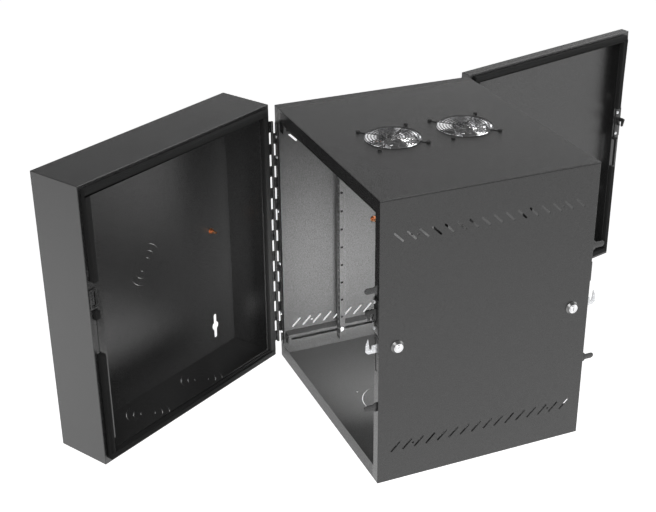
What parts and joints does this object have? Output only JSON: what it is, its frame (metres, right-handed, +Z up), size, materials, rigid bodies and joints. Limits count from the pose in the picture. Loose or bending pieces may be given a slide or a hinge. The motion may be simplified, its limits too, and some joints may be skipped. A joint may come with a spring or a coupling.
{
  "type": "wall mount network cabinet",
  "caption": "Double-hinged wall cabinet: shallow wall section, swing-out centre section with rack rails and two roof fans, and a front door, with key locks and snap catches.",
  "frame": {"origin": "middle of the face that lies on the wall", "axes": "+X to the hinge side, +Y into the wall, +Z up"},
  "size_m": [1.4723, 0.8399, 0.6128],
  "materials": {
    "powder_coat": "black fine-texture powder coat, satin",
    "gasket": "closed-cell foam, matt",
    "copper": "copper plated, dull",
    "zinc": "bright zinc plate",
    "chrome": "satin chrome",
    "catch_black": "moulded, fine grain",
    "black_screw": "black oxide",
    "guard_wire": "black coated wire",
    "fan_metal": "die cast, bare",
    "fan_plastic": "light grey moulding"
  },
  "bodies": {
    "wall_section": {"wall_back_panel": "powder_coat", "wall_section_frame": "powder_coat", "wall_section_stiffener": "powder_coat", "wall_gasket": "gasket", "rear_hinge_fixed_leaf": "powder_coat", "rear_hinge_pin": "powder_coat", "rear_hinge_fixed_screws": "black_screw", "wall_catch_receiver": "catch_black", "wall_ground_stud": "copper", "wall_bonding_nut": "zinc"},
    "centre_section": {"centre_lock_side_panel": "powder_coat", "centre_hinge_side_panel": "powder_coat", "centre_roof_panel": "powder_coat", "centre_floor_panel": "powder_coat", "rear_hinge_moving_leaf": "powder_coat", "rear_hinge_moving_screws": "zinc", "front_hinge_fixed_leaf": "powder_coat", "front_hinge_pin": "powder_coat", "front_hinge_fixed_screws": "zinc", "rear_lock_barrel": "chrome", "rear_lock_nut": "zinc", "front_lock_barrel": "chrome", "front_lock_nut": "zinc", "rear_guide_tabs": "powder_coat", "front_guide_tabs": "powder_coat", "rear_snap_catch": "catch_black", "rear_catch_screws": "zinc", "front_catch_receiver": "catch_black", "hinge_side_mounting_angles": "powder_coat", "rear_rail_hinge_side": "powder_coat", "rail_bolts": "zinc", "front_rail_hinge_side": "powder_coat", "lock_side_mounting_angles": "powder_coat", "rear_rail_lock_side": "powder_coat", "front_rail_lock_side": "powder_coat", "fan_1_frame": "fan_metal", "fan_1_guard": "guard_wire", "fan_1_screws": "black_screw", "fan_2_frame": "fan_metal", "fan_2_guard": "guard_wire", "fan_2_screws": "black_screw", "centre_ground_stud": "copper"},
    "front_door": {"door_panel": "powder_coat", "door_gasket": "gasket", "front_hinge_moving_leaf": "powder_coat", "front_hinge_moving_screws": "black_screw", "door_snap_catch": "catch_black", "door_catch_screws": "zinc"},
    "rear_key": {"rear_lock_plug": "chrome", "rear_hook_cam": "zinc", "rear_cam_screw": "zinc"},
    "front_key": {"front_lock_plug": "chrome", "front_hook_cam": "zinc", "front_cam_screw": "zinc"},
    "fan_1_impeller": {"fan_1_rotor": "fan_plastic"},
    "fan_2_impeller": {"fan_2_rotor": "fan_plastic"}
  },
  "joints": [
    {"name": "centre_swing", "type": "hinge", "parent": "wall_section", "child": "centre_section", "pos_m": [0.2705, -0.132, 0], "axis": [0, 0, 1], "range_deg": [-60, 40]},
    {"name": "door_swing", "type": "hinge", "parent": "centre_section", "child": "front_door", "pos_m": [0.67684, -0.3666, 0], "axis": [0, 0, 1], "range_deg": [-105, 75]},
    {"name": "rear_key_turn", "type": "hinge", "parent": "centre_section", "child": "rear_key", "pos_m": [0.03944, -0.6204, 0], "axis": [0.5, 0.866, 0], "range_deg": [-80, 6.5]},
    {"name": "front_key_turn", "type": "hinge", "parent": "centre_section", "child": "front_key", "pos_m": [0.3694, -0.8109, 0], "axis": [-0.5, -0.866, 0], "range_deg": [-80, 6.5]},
    {"name": "fan_1_spin", "type": "hinge", "parent": "centre_section", "child": "fan_1_impeller", "pos_m": [0.26968, -0.44387, 0.3048], "axis": [0, 0, 1], "continuous": true},
    {"name": "fan_2_spin", "type": "hinge", "parent": "centre_section", "child": "fan_2_impeller", "pos_m": [0.40716, -0.52325, 0.3048], "axis": [0, 0, 1], "continuous": true}
  ]
}
